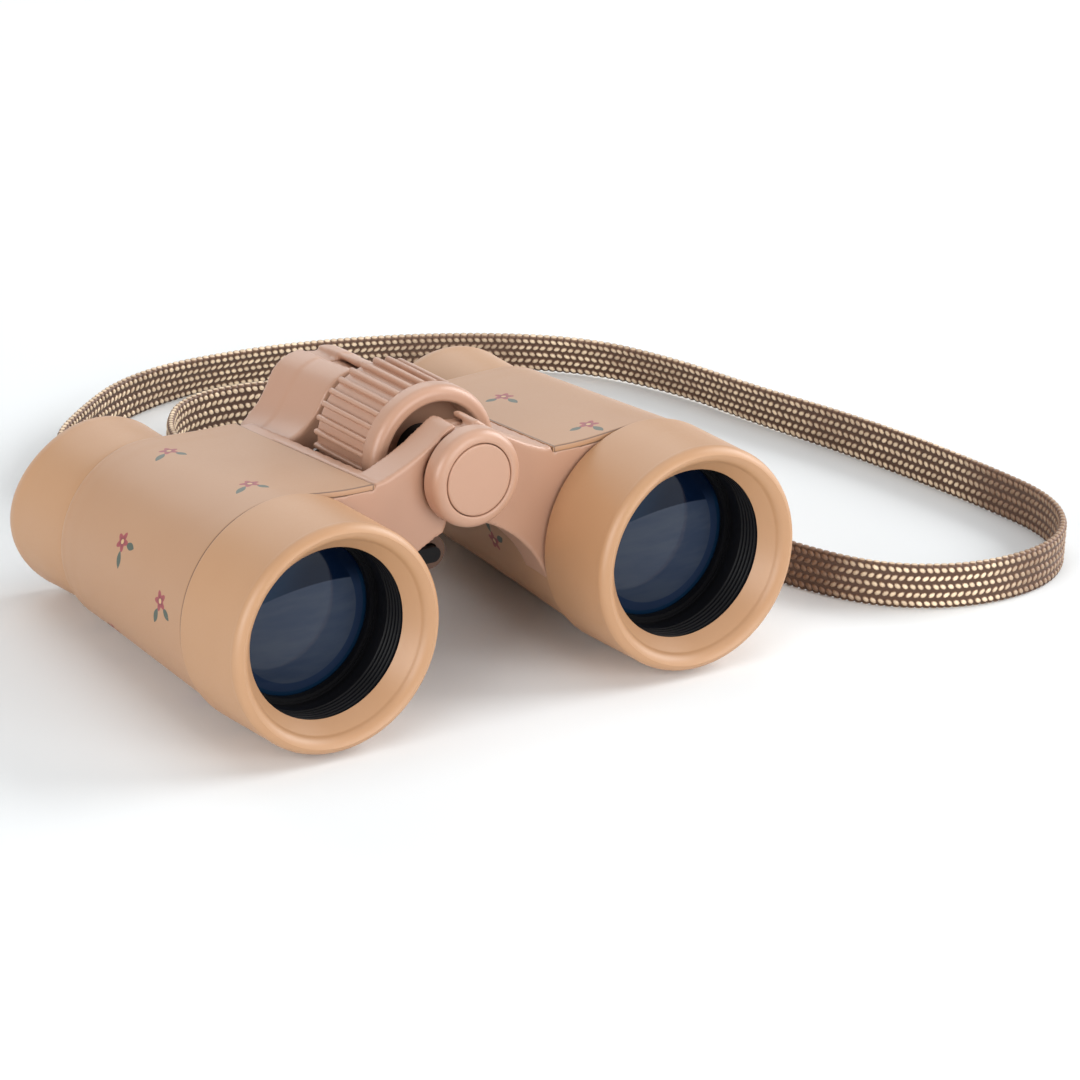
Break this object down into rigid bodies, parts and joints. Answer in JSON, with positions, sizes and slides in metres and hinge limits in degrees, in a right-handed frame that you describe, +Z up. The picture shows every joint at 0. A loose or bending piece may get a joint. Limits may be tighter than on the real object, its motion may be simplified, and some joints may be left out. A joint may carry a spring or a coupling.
{
  "type": "folding toy binoculars",
  "caption": "Folding toy binoculars with flared objective rings, a ribbed centre focus wheel, sliding eyepieces and a flat braided neck strap.",
  "frame": {"origin": "on the floor, under the middle of the two barrels' length and of the gap between them, with the objective rings and the eyecups resting on it", "axes": "+X across, from the left barrel to the right barrel; +Y along the line of sight towards the eyepieces; +Z up"},
  "size_m": [0.1889, 0.149, 0.0499],
  "materials": {
    "housing_plastic": "satin pink-beige moulded plastic",
    "printed_sleeve": "satin tan skin with a small printed flower pattern",
    "rim_plastic": "satin tan moulded plastic",
    "black_plastic": "matt black",
    "lens_glass": "blue-coated glass",
    "sheet_steel": "plain steel",
    "strap_braid": "flat brown braid with a satin sheen"
  },
  "bodies": {
    "left_half": {"left_chassis": "housing_plastic", "left_print_sleeve": "printed_sleeve", "left_objective_ring": "rim_plastic", "left_lens_cell": "black_plastic", "left_objective_lens": "lens_glass", "left_lens_retainer": "black_plastic", "left_light_baffle": "black_plastic", "left_eyecup": "rim_plastic", "hinge_axle": "sheet_steel", "hinge_washer": "sheet_steel", "hinge_rear_cap": "housing_plastic", "strap_lug": "black_plastic", "strap_end_loop": "strap_braid", "strap": "strap_braid"},
    "right_half": {"right_chassis": "housing_plastic", "right_print_sleeve": "printed_sleeve", "right_objective_ring": "rim_plastic", "right_lens_cell": "black_plastic", "right_objective_lens": "lens_glass", "right_lens_retainer": "black_plastic", "right_light_baffle": "black_plastic", "right_eyecup": "rim_plastic", "hinge_cap": "housing_plastic", "hinge_cap_disc": "housing_plastic"},
    "focus_drive": {"focus_wheel": "housing_plastic", "focus_screw": "black_plastic"},
    "left_eyepiece": {"left_focus_fork": "sheet_steel", "focus_nut": "black_plastic", "left_ocular_tube": "black_plastic", "left_ocular_lens": "lens_glass", "left_ocular_retainer": "black_plastic"},
    "right_eyepiece": {"right_focus_fork": "sheet_steel", "right_ocular_tube": "black_plastic", "right_ocular_lens": "lens_glass", "right_ocular_retainer": "black_plastic"}
  },
  "joints": [
    {"name": "fold", "type": "hinge", "parent": "left_half", "child": "right_half", "pos_m": [0, -0.00043, 0.03646], "axis": [0, 0.9974, -0.0722], "range_deg": [0, 44]},
    {"name": "focus_turn", "type": "hinge", "parent": "left_half", "child": "focus_drive", "pos_m": [0, -0.00043, 0.03646], "axis": [0, 0.9974, -0.0722], "range_deg": [-180, 180]},
    {"name": "left_focus_slide", "type": "slide", "parent": "left_half", "child": "left_eyepiece", "axis": [0, 0.9974, -0.0722], "range_m": [-0.0007, 0.0007]},
    {"name": "right_focus_slide", "type": "slide", "parent": "right_half", "child": "right_eyepiece", "axis": [0, 0.9974, -0.0722], "range_m": [-0.0007, 0.0007]}
  ],
  "couplings": [
    {"joint": "focus_turn", "follows": "left_focus_slide", "rad_per_m": 4487},
    {"joint": "right_focus_slide", "follows": "left_focus_slide", "ratio": 1}
  ]
}
